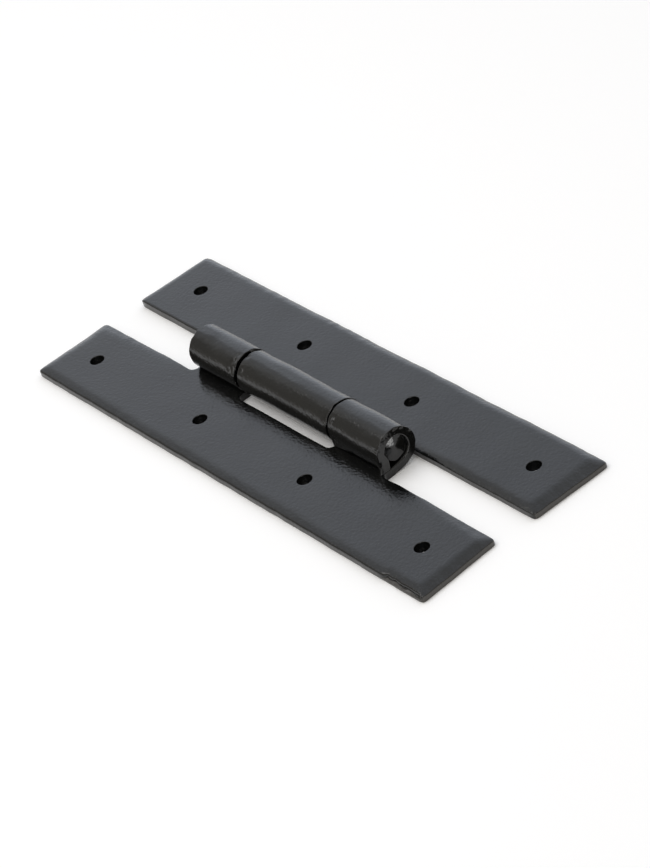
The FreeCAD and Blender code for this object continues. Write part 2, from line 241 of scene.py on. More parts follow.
def black_powder_coat(name, settings, relief_share, seed):
    """Black powder coat, baked on over hammered mild steel.

    The baked powder flows into a glossy skin with a fine orange peel, so it mirrors
    the studio at a slant, and the edges of what it mirrors break up into specks.
    Pinholes and a film of dust make it greyer and duller in soft patches. On the cut ends
    of the strip and on the burr's ledge it is rough, and painted a lighter grey as painted light.
    """
    material, tree = new_material(name)
    place = add_node(tree, "ShaderNodeTexCoord").outputs["Object"]
    moved = add_node(tree, "ShaderNodeMapping", {"Vector": place, "Location": (seed,) * 3})
    patches = add_node(
        tree, "ShaderNodeTexNoise", {"Vector": moved, "Scale": 1 / PATCH_SIZE, "Detail": 4.0})
    dull = add_node(tree, "ShaderNodeMapRange", {
        "Value": patches, "From Min": 0.35, "From Max": 0.7,
        "To Min": settings.roughness * 0.8, "To Max": settings.roughness * 1.25,
    })
    dust = add_node(tree, "ShaderNodeValToRGB", {"Fac": patches})
    clean, dusty = dust.color_ramp.elements
    clean.position, clean.color = 0.4, settings.colour
    dusty.position, dusty.color = 0.75, linear("#0f0f0e")
    peel = add_node(tree, "ShaderNodeTexNoise", {
        "Vector": moved, "Scale": 1 / PEEL_SIZE, "Detail": 3.0, "Roughness": 0.55,
    })
    pores = add_node(tree, "ShaderNodeTexVoronoi", {"Vector": moved, "Scale": 1 / PORE_SPACE})
    pits = add_node(tree, "ShaderNodeMapRange", {
        "Value": pores, "From Min": 0.0, "From Max": 0.3, "To Min": -1.0, "To Max": 0.0,
    }, interpolation_type="SMOOTHSTEP")
    relief = add_node(
        tree, "ShaderNodeMath", {0: pits, 1: 0.25, 2: peel}, operation="MULTIPLY_ADD")
    bump = add_node(
        tree, "ShaderNodeBump", {"Height": relief, "Distance": settings.peel * relief_share})
    # Painted light: the cut ends and the burr's ledge get a lighter grey (#3d3b38) here, and are
    # also made rougher
    sheared_and_painted_light = add_node(tree, "ShaderNodeAttribute", attribute_name="sheared_edge").outputs["Fac"]
    colour = add_node(
        tree, "ShaderNodeMix", {0: sheared_and_painted_light, 6: dust, 7: linear("#3d3b38")}, data_type="RGBA")
    gloss = add_node(
        tree, "ShaderNodeMath", {0: sheared_and_painted_light, 1: 0.3, 2: dull}, operation="MULTIPLY_ADD")
    coat = add_node(tree, "ShaderNodeBsdfPrincipled", {
        "Base Color": colour.outputs[2], "Roughness": gloss, "IOR": 1.5, "Normal": bump,
    })
    add_node(tree, "ShaderNodeOutputMaterial", {"Surface": coat})
    return material


def seamless_paper(settings):
    """White seamless paper: matt, and lit just past white where nothing shades it."""
    material, tree = new_material("seamless_paper")
    seen = add_node(tree, "ShaderNodeLightPath").outputs
    direct = seen["Is Camera Ray"]
    for ray in ("Is Glossy Ray", "Is Transmission Ray"):
        direct = add_node(tree, "ShaderNodeMath", {0: direct, 1: seen[ray]}, operation="MAXIMUM")
    lift = add_node(tree, "ShaderNodeMath", {0: direct, 1: PAPER_LIFT}, operation="MULTIPLY")
    paper = add_node(tree, "ShaderNodeBsdfPrincipled", {
        "Base Color": settings.floor_colour, "Roughness": 1.0, "Specular IOR Level": 0.0,
        "Emission Color": settings.floor_colour, "Emission Strength": lift,
    })
    add_node(tree, "ShaderNodeOutputMaterial", {"Surface": paper})
    return material


def wander(points, size, seed, waves=28):
    """Smooth random height at each point, about one unit high.

    It is a sum of cosine waves in random directions, with lengths around `size`.
    """
    points = np.asarray(points, float)
    random = np.random.default_rng(seed)
    directions = random.normal(size=(waves, points.shape[-1]))
    directions /= np.linalg.norm(directions, axis=1, keepdims=True)
    directions /= size * random.uniform(0.7, 1.6, (waves, 1))
    phases = random.uniform(0, math.tau, waves)
    turns = np.einsum("...k,wk->...w", points, directions) * math.tau
    return np.cos(turns + phases).sum(-1) / math.sqrt(waves / 2)


def on_line(values):
    """Points on a line, so that a wandering height depends on these values alone."""
    return np.stack([values, np.zeros_like(values)], -1)


def on_arc(middle, radius, turn):
    """Y and Z of a point on a circle, turned from its lowest point towards +Y."""
    return middle[0] + radius * np.sin(turn), middle[1] - radius * np.cos(turn)


def ease(value):
    """Smooth step from 0 to 1 as the value goes from 0 to 1."""
    held = np.clip(value, 0.0, 1.0)
    return held * held * (3 - 2 * held)


def soft_max(first, second, width):
    """The larger of two heights, with their meeting line rounded over `width`."""
    return (first + second + np.sqrt((first - second) ** 2 + width ** 2)) / 2


def edge_drop(distance, radius):
    """How far a quarter-round edge lies below the face, at a distance from the outline."""
    inside = radius - np.clip(distance, 0.0, radius)
    return radius - np.sqrt(np.maximum(radius ** 2 - inside ** 2, 0.0))


def fill(marks, pitch):
    """Positions through all marks, with each stretch cut into even steps.

    pitch gives the longest step allowed at a place.
    """
    marks = np.unique(np.round(marks, 6))
    stretches = []
    for low, high in zip(marks[:-1], marks[1:]):
        steps = max(1, math.ceil((high - low) / pitch((low + high) / 2)))
        stretches.append(np.linspace(low, high, steps, endpoint=False))
    return np.concatenate(stretches + [marks[-1:]])


@dataclass
class Tab:
    """A tab of the blank.

    It has two sides, the distance across at which each one starts, and how far the
    roll's tip curls in below the pin: at its low side, 8 mm in, and near and at its
    high side.
    """

    low: float
    high: float
    low_base: float
    high_base: float
    curls: tuple = (0.0, 0.0, 0.0, 0.0)


@dataclass
class Edge:
    """One edge of a blank: its ground bevel and its lean.

    The bevel has a width and a slope, a rounding where the coat ends it, and the shares
    of its width that it keeps beside the tabs and at the blank's high end. The edge
    leans in by one distance at its first end and by another at its last.
    """

    width: float
    slope: float
    rounding: float
    lean: tuple
    taper: float = 1.0
    fade: float = 1.0


class Strip:
    """A leaf as a flat blank of sheet, with its places in the rolled leaf.

    `x` runs along the leaf, `s` across it from its outer edge, on past the inner edge
    and round the roll to the tip, and `t` up through the sheet from its back. Its four
    edges are listed as the low end, the high end, the outer edge and the inner edge.
    """

    # The grid: steps at an edge, half the square round a hole, longest steps near an edge,
    # elsewhere and on a tab, how far near is, shares of the way in to a hole, and rows
    # down a wall and round a root
    EDGE_STEPS = (0.0, 0.05, 0.12, 0.22, 0.36, 0.55, 0.8)
    HOLE_BLOCK = 4.0
    FINE, COARSE, TAB_STEP, FINE_ZONE = 0.32, 1.0, 0.36, 4.6
    ROUND_STEPS = (0.0, 0.3, 0.55, 0.75, 0.87, 0.93, 0.965, 0.985, 1.0)
    WALL_STEPS, ROOT_STEPS = 11, 9

    # The grinding: how much a bevel's width wanders, the wave and the seed, the softness
    # of creases and at the flat, and where the inner bevel starts and how far it grows
    BEVEL_WANDER = ((0.06, 26.0, 0), (0.025, 4.0, 10))
    CREASE, FLAT_CREASE = 0.05, 0.04
    START_BEFORE, START, GROWTH = 1.5, 2.5, 38.0

    # Rounded edges: shares at the holes' rims and at the back, and the lengths over which
    # the rounding changes beside a root and up the bend
    HOLE_RIM, BACK_EDGE, ROOT_FADE, RIM_FADE = 0.4, 0.7, 6.0, 5.0

    # The coat in a hole: the power by which it thickens, and how far its pull reaches
    COAT_POWER, COAT_REACH = 1.6, 0.9

    # The roll's tip: half the zone that is beaten in, and the places of the middle curls
    # from the tab's low side and from its high side
    TIP_ZONE, CURL_LOW, CURL_HIGH = 1.5, 8.0, 2.2

    # The cut outline: its raggedness, the wave of that, and how deep a lean reaches
    RAGGED, RAGGED_WAVE, LEAN_REACH = 0.6, 9.0, 8.5

    # The rims' chips: fade past the bend, reach along and down, wave, least and most
    CHIP_FADE, CHIP_LENGTH, CHIP_DEPTH = 4, 1.6, 1.2
    CHIP_WAVE, CHIP_LEAST, CHIP_MOST = 3.4, 0.4, 2.2

    # The burr: mean, spread and wave of its width and height, and its fade along, up and in
    BURR_WIDTH, BURR_HEIGHT = (0.8, 0.07, 2.6), (0.8, 0.08, 3.5)
    BURR_END, BURR_STEP, BURR_REACH = 1.2, 0.22, 6

    # The dents: wave, shares along X, Y and Z, depth on the plate and more on the barrel,
    # the ripples' wave, share and stretch, and where both start off the bore and the sheet
    DENT_WAVE, DENT_SHARES, DENT_DEPTHS = 17.0, (0.5, 1.0, 1.0), (0.45, 0.8)
    RIPPLE_WAVE, RIPPLE_SHARE, RIPPLE_STRETCH = 4.2, 0.3, (0.45, 1, 1)
    PAST_BORE, BORE_FADE, PAST_SHEET, SHEET_FADE = 0.3, 1.6, 0.5, 2

    def __init__(self, scene, node, tabs, edges, seed, burr=None):
        low, high = box_mm(node)
        leaf, barrel = scene.hinge_leaf, scene.hinge_barrel
        turned = abs(high[1]) > abs(low[1])
        self.turn = -1.0 if turned else 1.0
        self.low, self.high = sorted((low[0] * self.turn, high[0] * self.turn))
        self.outer = -max(abs(low[1]), abs(high[1]))
        self.axis = (AXIS_POINT[1] * self.turn, AXIS_POINT[2])
        self.leaf, self.barrel, self.seed = leaf, barrel, seed
        self.sheet = leaf.sheet / MM
        self.corner = leaf.corner / MM
        self.root = barrel.root_radius / MM
        self.tabs, self.edges, self.burr = tabs, edges, burr
        self.holes, self.hole_row = self.hole_places(HOLES_OF[node])
        self.width = 2 * self.hole_row
        self.radius = EYE_BORE + self.sheet
        self.bend = self.width + self.root + barrel.root_land / MM
        self.find_roll()

    def hole_places(self, names):
        """Where the screw holes are along the blank, and the row's distance across."""
        places = []
        for name in names:
            mount = MOUNTS[name]
            middle = mount["pos_m"][0] / MM
            half = mount["dims"]["spacing_x_mm"] / 2
            places += [(middle - half) * self.turn, (middle + half) * self.turn]
        row = mount["pos_m"][1] / MM * self.turn - self.outer
        return sorted(places), row

    def find_roll(self):
        """Radius and angle of the wide bend that touches the leaf's back and the eye."""
        across = self.axis[0] - (self.outer + self.bend)
        lift = self.axis[1] - self.radius
        self.wide = self.radius + (across ** 2 + lift ** 2) / (2 * lift)
        self.touch = math.atan2(across, self.wide - self.axis[1])
        self.bend_end = self.bend + self.wide * self.touch
        self.drop = self.bend_end + self.radius * (1.5 * math.pi - self.touch)
        straight = self.axis[1] - self.sheet - self.barrel.seam_gap / MM
        self.tip = self.drop + straight

    def inner_edge(self, x):
        """Distance across at which the plate ends: the inner edge or the notch."""
        places, heights = [], []
        for tab in self.tabs:
            places += [tab.low - self.root, tab.high + self.root]
            heights += [tab.low_base, tab.high_base]
        return np.interp(x, places, heights)

    def side_distance(self, x, s, side, base, sign):
        """Distance to one side of a tab, to the rounding at its root, or to the edge."""
        centre_x, centre_s = side - sign * self.root, base + self.root
        along = (x - centre_x) * sign
        on_side = along - self.root
        on_root = np.hypot(along, s - centre_s) - self.root
        below = np.where(along > 0, on_root, base - s)
        return np.where(s >= centre_s, on_side, below)

    def inner_distance(self, x, s):
        """Distance to the inner outline: the larger over the tabs of the nearer side."""
        nearest = []
        for tab in self.tabs:
            low = self.side_distance(x, s, tab.low, tab.low_base, 1.0)
            high = self.side_distance(x, s, tab.high, tab.high_base, -1.0)
            nearest.append(np.minimum(low, high))
        return np.minimum(np.max(nearest, axis=0), self.tip - s)

    def depths(self, x, s):
        """Distances to the low end, the high end, the outer edge and the inner outline."""
        return x - self.low, self.high - x, s, self.inner_distance(x, s)

    def hole_distance(self, x, s):
        """Distance to the nearest screw hole's wall."""
        return np.min(
            [np.hypot(x - hole, s - self.hole_row) - HOLE_RADIUS for hole in self.holes], axis=0
        )

    def away_from_tabs(self, x):
        """How far a place along the leaf lies outside all tabs and the notch."""
        low = self.tabs[0].low - self.root - x
        high = x - self.tabs[-1].high - self.root
        return np.maximum(low, high)

    def bevel_drop(self, x, s):
        """How far the ground bevels lie below the flat.

        Each bevel is a plane that starts at its own wandering distance from an edge,
        and the deepest one counts, with the lines between them softened.
        """
        away = self.away_from_tabs(x)
        grown = np.clip(away / self.GROWTH, 0.0, 1.0)
        to_high = ease((x - self.low) / (self.high - self.low))
        drop = np.full_like(x, -1.0)
        for index, (depth, edge) in enumerate(zip(self.depths(x, s), self.edges)):
            place, share = (s if index < 2 else x), (grown if index == 3 else 1.0)
            hand = 1.0
            for much, wave, seed in self.BEVEL_WANDER:
                hand = hand + much * wander(on_line(place), wave, self.seed + seed + index)
            taper = (edge.taper + (1 - edge.taper) * share) * (1 + (edge.fade - 1) * to_high)
            fall = (edge.width * hand * taper - depth) * edge.slope
            drop = soft_max(drop, fall, self.CREASE)
        on_plate = ease((away + self.START_BEFORE) / self.START)
        on_plate = np.where(s > self.hole_row, on_plate, 1.0)
        return soft_max(drop, 0.0 * drop, self.FLAT_CREASE) * on_plate

    def top(self, x, s):
        """Height of the sheet's face: its thickness, less bevels and rounded edges."""
        soft = self.leaf.edge_round / MM
        inner = self.edges[3].rounding
        inner = soft + (inner - soft) * ease(self.away_from_tabs(x) / self.ROOT_FADE)
        to_rim = ease((s - self.bend) / self.RIM_FADE)
        inner = inner + (self.barrel.rim_round / MM - inner) * to_rim
        roundings = [edge.rounding for edge in self.edges[:3]] + [inner]
        rounded = np.maximum.reduce(
            [edge_drop(*pair) for pair in zip(self.depths(x, s), roundings)])
        loose = np.minimum(1 - self.curl(x), 1.0)
        at_tip = ease((s - self.drop + self.TIP_ZONE) / (2 * self.TIP_ZONE))
        beaten = at_tip * loose * self.barrel.tip_flare / MM
        height = self.sheet - self.bevel_drop(x, s) - rounded + beaten
        return height - edge_drop(self.hole_distance(x, s), soft * self.HOLE_RIM)

    def back(self, x, s):
        """Height of the sheet's back: nought, but for the rounded outline."""
        outline = np.minimum.reduce(self.depths(x, s))
        return edge_drop(outline, self.leaf.edge_round / MM * self.BACK_EDGE)

    def gather_coat(self, x, s, t):
        """Narrow the holes towards the back, where the coat has run down and set."""
        low = np.clip(1 - t / self.sheet, 0.0, 1.0) ** self.COAT_POWER
        low = low * self.leaf.hole_coat / MM
        for hole in self.holes:
            along, across = x - hole, s - self.hole_row
            reach = np.maximum(np.hypot(along, across), 1e-6)
            pull = low * ease((HOLE_RADIUS + self.COAT_REACH - reach) / self.COAT_REACH) / reach
            x, s = x - along * pull, s - across * pull
        return x, s

    def round_corners(self, x, s):
        """Pull the blank's square corners in to quarter circles.

        In a corner's square, a point at the larger of its two depths is moved to
        the circle of that radius about the square's inner corner.
        """
        middle = (self.low + self.high) / 2
        end = np.where(x < middle, x - self.low, self.high - x)
        side = np.minimum(s, np.maximum(self.width - s, 0.0))
        deep_x = np.clip(self.corner - end, 0.0, None)
        deep_s = np.clip(self.corner - side, 0.0, None)
        reach = np.hypot(deep_x, deep_s)
        share = np.maximum(deep_x, deep_s) / np.maximum(reach, 1e-9)
        share = np.where((deep_x > 0) & (deep_s > 0) & (s <= self.width), share, 1.0)
        outward_x = np.where(x < middle, 1.0, -1.0) * deep_x * (1 - share)
        outward_s = np.where(s < self.hole_row, 1.0, -1.0) * deep_s * (1 - share)
        return x + outward_x, s + outward_s

    def curl(self, x):
        """How far the roll's tip follows the pin round, and doesn't drop straight."""
        share = np.zeros_like(x)
        for tab in self.tabs:
            within = (x > tab.low - 1) & (x < tab.high + 1)
            places = (tab.low, tab.low + self.CURL_LOW, tab.high - self.CURL_HIGH, tab.high)
            share = np.where(within, np.interp(x, places, tab.curls), share)
        return share

    def cut_by_hand(self, x, s, t):
        """Lean the four edges, let them wander, and chip the knuckles' rims."""
        across = np.clip(s / self.width, 0.0, 1.0)
        along = (x - self.low) / (self.high - self.low)
        plain = ease(self.away_from_tabs(x) / self.ROOT_FADE)
        depths = (x - self.low, self.high - x, s, np.maximum(self.width - s, 0.0))
        moved = [x, s]
        for index, (edge, depth) in enumerate(zip(self.edges, depths)):
            share, place = (across, s) if index < 2 else (along, x)
            first, last = edge.lean
            ragged = wander(on_line(place), self.RAGGED_WAVE, self.seed + 20 + index)
            wobble = self.leaf.hand_wobble / MM * (1 + self.RAGGED * ragged)
            inset = first + (last - first) * share + wobble
            inset = inset * np.clip(1 - depth / self.LEAN_REACH, 0.0, 1.0)
            inset = inset * (plain if index == 3 else 1.0)
            moved[index // 2] = moved[index // 2] + (-1) ** index * inset
        moved_x, moved_s = moved
        chips = self.barrel.rim_chips / MM * ease((s - self.bend) / self.CHIP_FADE)
        spot = np.stack([s, t], -1)
        for index, tab in enumerate(self.tabs):
            for end, inward in ((tab.low, 1), (tab.high, -1)):
                fade = ease(1 - np.abs(x - end) / self.CHIP_LENGTH) * ease(self.CHIP_DEPTH - t)
                seed = self.seed + 34 + 2 * index + inward
                bite = self.CHIP_LEAST + wander(spot, self.CHIP_WAVE, seed)
                moved_x = moved_x + inward * chips * fade * bite.clip(0, self.CHIP_MOST)
        return moved_x, moved_s

    def leave_burr(self, x, s, t):
        """Set the sheet's upper part back along a stretch of the outer edge.

        What stays below is a ragged ledge, where the shears tore the strip. Its width
        and its height wander along the edge.
        """
        if not self.burr:
            return x, s
        start, stop = self.burr
        within = ease((x - start) / self.BURR_END) * ease((stop - x) / self.BURR_END)
        wide, high = (
            mean + spread * wander(on_line(x), wave, self.seed + 50 + index)
            for index, (mean, spread, wave) in enumerate((self.BURR_WIDTH, self.BURR_HEIGHT))
        )
        above = ease((t - high) / self.BURR_STEP) * np.clip(1 - s / self.BURR_REACH, 0.0, 1.0)
        return x, s + wide * within * above

    def place(self, x, s, t):
        """Point of the rolled leaf for blank coordinates, before its half turn.

        Flat up to the bend, then the wide arc about a centre above the bend, then
        the eye's arc about the pin, then down to the tip, straight or on round the pin.
        """
        x, s = self.gather_coat(x, s, t)
        x, s = self.leave_burr(*self.cut_by_hand(*self.round_corners(x, s), t), t)
        wide_turn = (np.clip(s, self.bend, self.bend_end) - self.bend) / self.wide
        up_eye = np.clip(s, self.bend_end, self.drop) - self.bend_end
        eye_turn = self.touch + up_eye / self.radius
        flat = (self.outer + s, t)
        wide = on_arc((self.outer + self.bend, self.wide), self.wide - t, wide_turn)
        eye = on_arc(self.axis, self.radius - t, eye_turn)
        fall = np.clip(s - self.drop, 0.0, self.radius)
        turn, share = np.arcsin(fall / self.radius), self.curl(x)
        lift = np.maximum(share, 0.0)
        last = (
            self.axis[0] - (self.radius - t) * (1 + share * (np.cos(turn) - 1)),
            self.axis[1] - fall + lift * t * fall / self.radius,
        )
        stages = (s <= self.bend, s <= self.bend_end, s <= self.drop)
        y, z = (
            np.select(stages, (flat[axis], wide[axis], eye[axis]), last[axis]) for axis in (0, 1)
        )
        return self.hammer(np.stack([x, y, z], -1))

    def hammer(self, points):
        """Dent the whole strip with a smooth random field that spares bore and holes."""
        depth = self.leaf.hammer_depth / MM
        moved = points * self.turn
        from_pin = np.hypot(points[..., 1] - self.axis[0], points[..., 2] - self.axis[1])
        spare = ease((from_pin - EYE_BORE - self.PAST_BORE) / self.BORE_FADE)
        field = [wander(moved, self.DENT_WAVE, self.seed + 40 + axis) for axis in range(3)]
        field = np.stack(field, -1) * self.DENT_SHARES
        on_barrel = ease((points[..., 2] - self.sheet - self.PAST_SHEET) / self.SHEET_FADE)
        on_plate, more = self.DENT_DEPTHS
        field = field * (on_plate + more * on_barrel)[..., None]
        ripple = wander(moved * self.RIPPLE_STRETCH, self.RIPPLE_WAVE, self.seed + 44)
        outward = (points[..., 1:] - self.axis) / np.maximum(from_pin, 1e-6)[..., None]
        field[..., 1:] += self.RIPPLE_SHARE * (ripple * on_barrel)[..., None] * outward
        points = points + depth * spare[..., None] * field
        return self.mark(points, on_barrel * spare)

    def mark(self, points, share):
        """Press the listed marks into the barrel, or raise them where deep is below 0.

        A mark lies at a place along the pin and an angle from the top towards the
        camera. It is a bell-shaped hollow, pressed towards the pin's axis.
        """
        moved = points * self.turn
        from_axis = moved[..., 1:] * [1, self.turn] - AXIS_POINT[1:]
        reach = np.maximum(np.linalg.norm(from_axis, axis=-1), 1e-6)
        pressed = np.zeros_like(reach)
        for along, angle, size, deep in BARREL_MARKS:
            turn = math.radians(angle)
            spot = np.array([along, AXIS_POINT[1] - self.radius * math.sin(turn),
                             AXIS_POINT[2] + self.radius * math.cos(turn)])
            away = np.linalg.norm(moved * [1, 1, self.turn] - spot, axis=-1)
            pressed = pressed + deep * np.exp(-((away / size) ** 2))
        push = pressed * share / reach
        shift = np.stack([0 * push, push * from_axis[..., 0], push * from_axis[..., 1]], -1)
        return points - shift * [self.turn, self.turn, 1]

    def columns(self):
        """Places along the leaf: close together at the ends, tab sides and holes."""
        ends, edges = [self.low, self.high], [(self.low, 1), (self.high, -1)]
        for tab in self.tabs:
            ends += [tab.low, tab.high]
            edges += [(tab.low - self.root, 1), (tab.high + self.root, -1)]
        marks = [edge + sign * step for edge, sign in edges for step in self.EDGE_STEPS]
        marks += [hole + sign * self.HOLE_BLOCK for hole in self.holes for sign in (-1, 1)]
        return fill(marks, lambda x: self.pitch(min(abs(x - end) for end in ends)))

    def rows(self):
        """Places across the plate: close together at both sides and the holes."""
        marks = [self.hole_row - self.HOLE_BLOCK, self.hole_row + self.HOLE_BLOCK]
        for step in self.EDGE_STEPS:
            marks += [step, self.width - step]
        return fill(marks, lambda s: self.pitch(min(s, self.width - s)))

    def pitch(self, distance):
        """Longest step allowed at a distance from an edge of the blank."""
        return self.FINE if distance < self.FINE_ZONE else self.COARSE

    def plate_grid(self):
        """Blank coordinates of the plate, its last row bent to the inner outline."""
        x, rows = np.meshgrid(self.columns(), self.rows(), indexing="ij")
        start = self.hole_row + self.HOLE_BLOCK
        stretch = (self.inner_edge(x) - start) / (self.width - start)
        return x, np.where(rows > start, start + (rows - start) * stretch, rows)

    def tab_grid(self, tab, x):
        """Blank coordinates of a tab, from the plate's last row to the tip.

        The first rows follow the two round roots, and the later ones run straight.
        """
        marks = [self.bend, self.bend_end, self.drop]
        marks += [self.tip - step for step in self.EDGE_STEPS]
        later = fill(marks, lambda s: self.TAB_STEP)
        angles = np.linspace(0, math.pi / 2, self.ROOT_STEPS)
        sides = []
        for side, base, sign in ((tab.low, tab.low_base, 1.0), (tab.high, tab.high_base, -1.0)):
            along = side - sign * self.root * (1 - np.sin(angles))
            across = base + self.root * (1 - np.cos(angles))
            sides += [np.append(along, np.full_like(later, side)), np.append(across, later)]
        low_x, low_s, high_x, high_s = sides
        share = ((x - x[0]) / (x[-1] - x[0]))[:, None]
        return low_x + (high_x - low_x) * share, low_s + (high_s - low_s) * share

    def wall(self, x, s):
        """The wall below an outline: from the face's edge down to the back's."""
        down = np.linspace(0.0, 1.0, self.WALL_STEPS)
        top, back = self.top(x, s), self.back(x, s)
        height = top[:, None] + (back - top)[:, None] * down
        spread = np.ones_like(down)
        return self.place(x[:, None] * spread, s[:, None] * spread, height)

    def closed(self, x, s, lines, left_out=None):
        """Face and back over the same blank coordinates, and the walls along some lines."""
        faces = [self.place(x, s, height(x, s)) for height in (self.top, self.back)]
        walls = [self.wall(x[line], s[line]) for line in lines]
        return [(face, left_out) for face in faces] + [(wall, None) for wall in walls]

    def hole_ring(self, x, s, hole):
        """Blank coordinates from a square block's outline in to the round hole.

        Each line runs straight to the point of the circle at the same angle.
        """
        angle = np.arctan2(s - self.hole_row, x - hole)
        round_x = hole + HOLE_RADIUS * np.cos(angle)
        round_s = self.hole_row + HOLE_RADIUS * np.sin(angle)
        share = np.array(self.ROUND_STEPS)
        ring_x = x[:, None] * (1 - share) + round_x[:, None] * share
        ring_s = s[:, None] * (1 - share) + round_s[:, None] * share
        return ring_x, ring_s

    def patches(self):
        """All grids of points that close the leaf, each with the cells it leaves out."""
        x, s = self.plate_grid()
        columns, rows = x[:, 0], s[0]
        left_out = np.zeros((x.shape[0] - 1, x.shape[1] - 1), bool)
        grids = []
        block = np.array([-1, 1]) * self.HOLE_BLOCK - 1e-3
        across = np.searchsorted(rows, self.hole_row + block)
        for hole in self.holes:
            along = np.searchsorted(columns, hole + block)
            left_out[slice(*along), slice(*across)] = True
            path = block_outline(*along, *across)
            ring_x, ring_s = self.hole_ring(x[path], s[path], hole)
            grids += self.closed(ring_x, ring_s, [np.s_[:, -1]])
        grids += self.closed(x, s, [np.s_[0], np.s_[-1], np.s_[:, 0]], left_out)
        free = np.ones(x.shape[0] - 1, bool)
        for tab in self.tabs:
            first, last = np.searchsorted(
                columns, (tab.low - self.root - 1e-3, tab.high + self.root - 1e-3))
            free[first:last] = False
            tab_x, tab_s = self.tab_grid(tab, columns[first:last + 1])
            grids += self.closed(tab_x, tab_s, [np.s_[0], np.s_[-1], np.s_[:, -1]])
        inner = self.wall(x[:, -1], s[:, -1])
        grids.append((inner, np.repeat(~free[:, None], inner.shape[1] - 1, axis=1)))
        return grids


def block_outline(low_i, high_i, low_j, high_j):
    """Grid indices once round a block's outline, back to the first."""
    i, j = np.arange(low_i, high_i), np.arange(low_j, high_j)
    path_i = np.concatenate([i, np.full_like(j, high_i), i[::-1] + 1, np.full_like(j, low_i)])
    path_j = np.concatenate([np.full_like(i, low_j), j, np.full_like(i, high_j), j[::-1] + 1])
    return np.append(path_i, path_i[0]), np.append(path_j, path_j[0])


def grid_faces(shape, left_out, first):
    """Corner numbers of a grid's four-sided cells, counted from `first`."""
    number = first + np.arange(shape[0] * shape[1]).reshape(shape)
    cells = np.stack(
        [number[:-1, :-1], number[1:, :-1], number[1:, 1:], number[:-1, 1:]], axis=-1
    )
    return cells[~left_out] if left_out is not None else cells.reshape(-1, 4)


def mesh_from_patches(name, patches, limits):
    """One closed mesh in metres, welded along the patches' shared edges.

    limits holds the lowest and highest corner, in millimetres, that no point passes.
    """
    points, cells, count = [], [], 0
    for grid, left_out in patches:
        cells.append(grid_faces(grid.shape[:2], left_out, count))
        points.append(grid.reshape(-1, 3))
        count += len(points[-1])
    points = np.clip(np.concatenate(points), *limits) * MM
    mesh = bpy.data.meshes.new(name)
    mesh.from_pydata(points, [], np.concatenate(cells))
    work = bmesh.new()
    work.from_mesh(mesh)
    bmesh.ops.remove_doubles(work, verts=work.verts, dist=WELD)
    bmesh.ops.dissolve_degenerate(work, edges=work.edges, dist=SLIVER)
    bmesh.ops.recalc_face_normals(work, faces=work.faces)
    open_edges = sum(not edge.is_manifold for edge in work.edges)
    work.to_mesh(mesh)
    work.free()
    if open_edges:
        raise RuntimeError(f"{name} has {open_edges} edges that do not close")
    mesh.polygons.foreach_set("use_smooth", np.ones(len(mesh.polygons), bool))
    mesh.set_sharp_from_angle(angle=SHARP_ANGLE)
    return mesh


def note_sheared_edges_and_painted_light(mesh, strip):
    """Store on each point how much it gets the rough cut finish and the painted light.

    That is a face which turns along the leaf past the last hole, and the low ledge
    along the burr's stretch of the outer edge. Both are painted a lighter grey as painted light.
    """
    count = len(mesh.vertices)
    facing, places = np.zeros(count * 3), np.zeros(count * 3)
    mesh.vertex_normals.foreach_get("vector", facing)
    mesh.vertices.foreach_get("co", places)
    x, y, z = places.reshape(-1, 3).T * [[strip.turn], [strip.turn], [1.0]] / MM
    past_holes = np.abs(x) > max(strip.holes) + 2 * HOLE_RADIUS
    share = ease((np.abs(facing[::3]) - END_FACING) / END_BLEND) * past_holes
    if strip.burr:
        on_ledge = (x > strip.burr[0]) & (y < strip.outer + LEDGE_WIDTH) & (z < LEDGE_HEIGHT)
        share = np.maximum(share, 1.0 * on_ledge)
    # Painted light: this share paints the coat a lighter grey on these faces, and makes them
    # rougher
    mesh.attributes.new("sheared_edge", "FLOAT", "POINT").data.foreach_set("value", share)


def add_object(name, data):
    """A new object in the scene."""
    item = bpy.data.objects.new(name, data)
    bpy.context.scene.collection.objects.link(item)
    return item


def finish_piece(mesh, node, material):
    """Link a piece, give it its finish, and let it stand for its node."""
    piece = add_object(f"painted_{node}", mesh)
    mesh.materials.append(material)
    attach(piece, BODY_OF[node])
    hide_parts(node)


def edge_sizes(leaf):
    """Width of the bevels at the ends and along the sides, and the edges' rounding."""
    return leaf.end_bevel / MM, leaf.side_bevel / MM, leaf.edge_round / MM


class OBJECT_OT_hinge_end_leaf(bpy.types.Operator):
    """Build the front leaf, whose strip is rolled into the two end knuckles"""

    bl_idname = "hinge.add_end_leaf"
    bl_label = "End-knuckle leaf"

    def execute(self, context):
        barrel = context.scene.hinge_barrel
        middle = (PIN_BOX[0][0] + PIN_BOX[1][0]) / 2
        half_barrel = (PIN_BOX[1][0] - PIN_BOX[0][0]) / 2 + barrel.pin_recess / MM
        half_opening = barrel.knuckle_opening / MM / 2
        row = MOUNTS["end_leaf_outer_holes"]["pos_m"][1] / MM - box_mm(END_LEAF)[0][1]
        inner, notch = 2 * row, 2 * row - barrel.notch_relief / MM
        left = (middle - half_barrel, middle - half_opening, inner, notch)
        right = (middle + half_opening, middle + half_barrel, notch, inner)
        tabs = (Tab(*left, (1.0,) * 4), Tab(*right, (0.15, 0.65, 0.6, -0.5)))
        end, side, soft = edge_sizes(context.scene.hinge_leaf)
        edges = (
            Edge(end * 0.72, 0.27, soft * 3, (0.6, 0.0)), Edge(end, 0.27, soft, (0.1, 1.45)),
            Edge(side, 0.22, soft * 2, (0.0, 0.0)),
            Edge(side * 1.4, 0.3, soft * 2, (-0.3, -0.7), 0.1),
        )
        build_leaf(context, END_LEAF, tabs, edges, 3, (73.0, 88.6))
        return {"FINISHED"}


